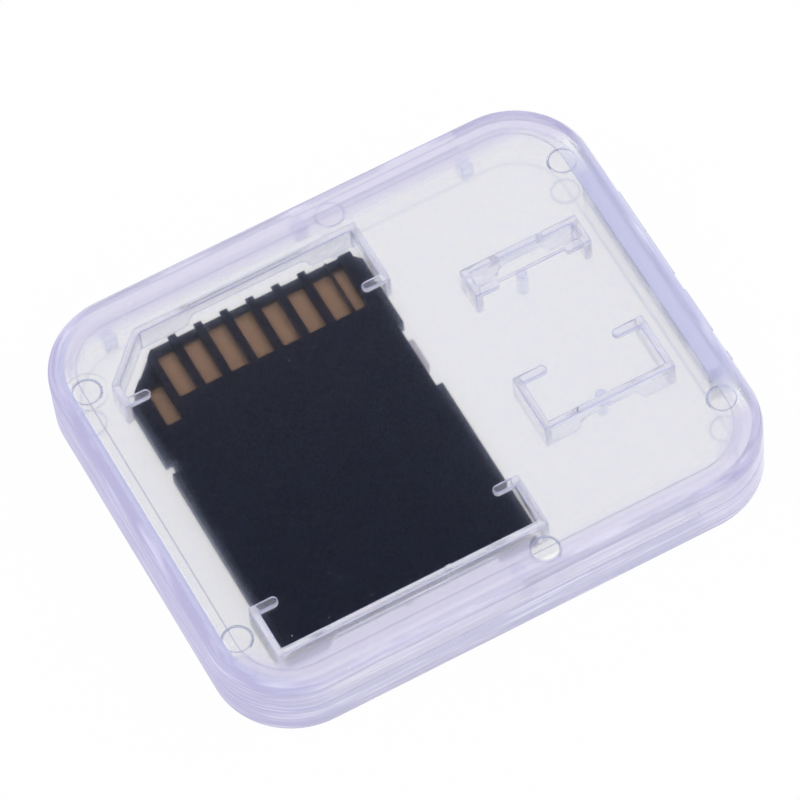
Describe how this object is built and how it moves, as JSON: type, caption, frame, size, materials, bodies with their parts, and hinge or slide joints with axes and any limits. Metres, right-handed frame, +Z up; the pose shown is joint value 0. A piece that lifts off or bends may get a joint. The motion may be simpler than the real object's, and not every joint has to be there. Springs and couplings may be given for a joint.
{
  "type": "memory card case",
  "caption": "Flat clear clamshell case with a living hinge, holding a black memory card in a fenced pocket beside an empty pocket for a small card.",
  "frame": {"origin": "middle of the closed case's footprint, hinge straps included, on the surface it lies on", "axes": "+X from the opening side to the hinge side, +Y towards the card's contacts, +Z up"},
  "size_m": [0.0522, 0.0434, 0.0068],
  "materials": {
    "clear_polypropylene": "clear moulded polypropylene, polished outside and faintly hazy inside",
    "card_plastic": "fine matt moulded black plastic",
    "circuit_board": "dark solder mask",
    "chip_resin": "moulded black epoxy",
    "capacitor_ceramic": "fired ceramic",
    "label_paper": "blank coated label",
    "slider_plastic": "fine matt moulded plastic",
    "gold_contact": "thin gold plate with a dull bloom"
  },
  "bodies": {
    "cover": {"cover_shell": "clear_polypropylene", "cover_wall_ribs": "clear_polypropylene", "sd_post_contact_end": "clear_polypropylene", "sd_post_tail_end": "clear_polypropylene", "micro_post_contact_end": "clear_polypropylene", "micro_post_tail_end": "clear_polypropylene", "hinge_strap_1": "clear_polypropylene", "hinge_strap_2": "clear_polypropylene", "hinge_strap_3": "clear_polypropylene", "hinge_strap_4": "clear_polypropylene"},
    "tray": {"tray_shell": "clear_polypropylene", "tray_wall_ribs": "clear_polypropylene", "sd_fence_contact_end": "clear_polypropylene", "sd_fence_tail_end": "clear_polypropylene", "micro_fence_contact_end": "clear_polypropylene", "micro_fence_tail_end": "clear_polypropylene", "latch_bead_1": "clear_polypropylene", "latch_bead_2": "clear_polypropylene"},
    "card": {"card_rear_housing": "card_plastic", "card_front_housing": "card_plastic", "card_circuit_board": "circuit_board", "card_memory_chip": "chip_resin", "card_controller_chip": "chip_resin", "card_capacitors": "capacitor_ceramic", "card_label": "label_paper", "card_contact_1": "gold_contact", "card_contact_2": "gold_contact", "card_contact_3": "gold_contact", "card_contact_4": "gold_contact", "card_contact_5": "gold_contact", "card_contact_6": "gold_contact", "card_contact_7": "gold_contact", "card_contact_8": "gold_contact", "card_contact_9": "gold_contact"},
    "slider": {"write_protect_slider": "slider_plastic"}
  },
  "joints": [
    {"name": "lid_hinge", "type": "hinge", "parent": "cover", "child": "tray", "pos_m": [0.0259, 0, 0.0038], "axis": [0, 1, 0], "range_deg": [0, 180], "deforming": ["hinge_strap_1", "hinge_strap_2", "hinge_strap_3", "hinge_strap_4"]},
    {"name": "card_slide", "type": "slide", "parent": "tray", "child": "card", "axis": [0, 1, 0], "range_m": [0, 0.001]},
    {"name": "write_protect_slide", "type": "slide", "parent": "card", "child": "slider", "axis": [0, 1, 0], "range_m": [0, 0.0018]}
  ]
}
